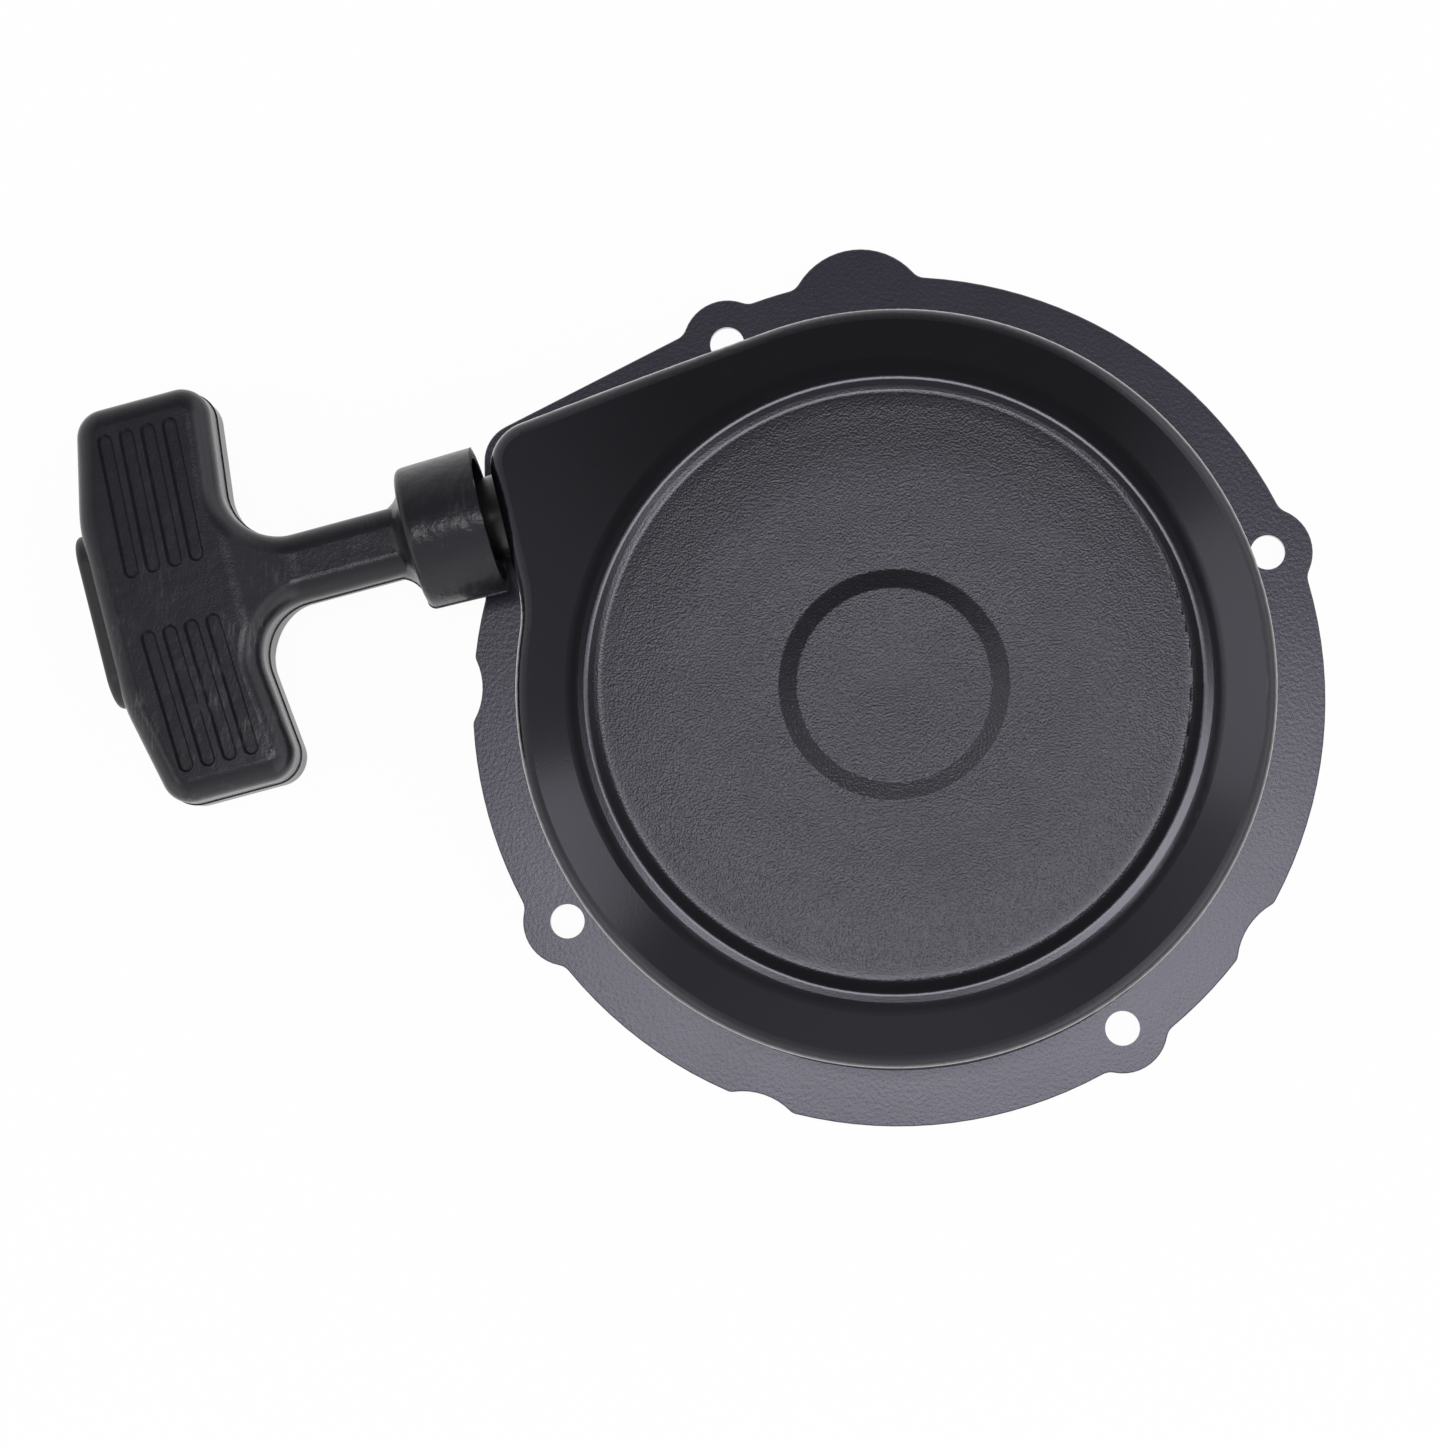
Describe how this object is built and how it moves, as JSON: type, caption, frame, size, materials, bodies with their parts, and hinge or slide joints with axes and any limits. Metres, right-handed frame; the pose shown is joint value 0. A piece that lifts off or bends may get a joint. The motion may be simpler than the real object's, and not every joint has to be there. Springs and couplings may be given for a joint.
{
  "type": "recoil starter",
  "caption": "Pull starter for a small engine: round pressed steel case with a mounting flange, rope reel, pawls and T-shaped pull handle.",
  "frame": {"origin": "crank axis in the plane of the mounting flange's underside", "axes": "+Z along the crank axis from the engine towards the case's crown, the rope leaving towards -X and 14.85 degrees down towards -Y"},
  "size_m": [0.258, 0.1839, 0.0358],
  "materials": {
    "case_paint": "satin black paint over pressed steel",
    "bare_steel": "turned bare steel",
    "zinc_steel": "zinc-plated steel",
    "spring_steel": "oiled blue spring steel",
    "pawl_steel": "hardened dark steel",
    "bushing_metal": "sintered bronze",
    "reel_plastic": "moulded nylon",
    "guide_plastic": "glossy black grommet",
    "cap_plastic": "moulded black plastic",
    "grip_rubber": "moulded hard black rubber with faint scuffs",
    "rope": "braided nylon starter rope"
  },
  "bodies": {
    "housing": {"starter_housing": "case_paint", "center_post": "bare_steel", "thrust_washer": "bare_steel", "center_bolt": "zinc_steel", "rope_guide": "guide_plastic"},
    "reel": {"reel": "reel_plastic", "reel_bushing": "bushing_metal", "spring_cover": "bare_steel", "spiral_spring": "spring_steel", "rope_winding": "rope", "rope_reel_knot": "rope", "pawl_pin_left": "bare_steel", "pawl_pin_right": "bare_steel"},
    "guide": {"guide_plate": "zinc_steel", "friction_spring": "spring_steel"},
    "pawl_right": {"pawl_right": "pawl_steel", "pawl_spring_right": "spring_steel"},
    "pawl_left": {"pawl_left": "pawl_steel", "pawl_spring_left": "spring_steel"},
    "rope_end": {"rope_run": "rope", "rope_handle_end": "rope", "rope_washer": "bare_steel", "rope_handle_knot": "rope"},
    "handle": {"handle_grip": "grip_rubber", "handle_cap": "cap_plastic"}
  },
  "joints": [
    {"name": "reel_spin", "type": "hinge", "parent": "housing", "child": "reel", "pos_m": [0, 0, 0.0176], "axis": [0, 0, 1], "range_deg": [0, 800], "stiffness_Nm_per_rad": 0.02, "deforming": ["spiral_spring"]},
    {"name": "handle_pull", "type": "slide", "parent": "housing", "child": "rope_end", "axis": [-0.9666, -0.2563, 0], "range_m": [0, 0.782], "deforming": ["rope_run"]},
    {"name": "handle_swivel", "type": "hinge", "parent": "rope_end", "child": "handle", "pos_m": [-0.14001, 0.02081, 0.0176], "axis": [-0.9666, -0.2563, 0], "range_deg": [-180, 180]},
    {"name": "guide_lag", "type": "hinge", "parent": "reel", "child": "guide", "pos_m": [0, 0, 0.005], "axis": [0, 0, -1], "range_deg": [0, 30]},
    {"name": "pawl_right_swing", "type": "hinge", "parent": "reel", "child": "pawl_right", "pos_m": [0.022, 0, 0.008], "axis": [0, 0, -1], "range_deg": [0, 35.1]},
    {"name": "pawl_left_swing", "type": "hinge", "parent": "reel", "child": "pawl_left", "pos_m": [-0.022, 0, 0.008], "axis": [0, 0, -1], "range_deg": [0, 35.1]}
  ],
  "couplings": [
    {"joint": "handle_pull", "follows": "reel_spin", "m_per_rad": 0.056},
    {"joint": "pawl_right_swing", "follows": "guide_lag", "ratio": 1.1667},
    {"joint": "pawl_left_swing", "follows": "guide_lag", "ratio": 1.1667}
  ]
}
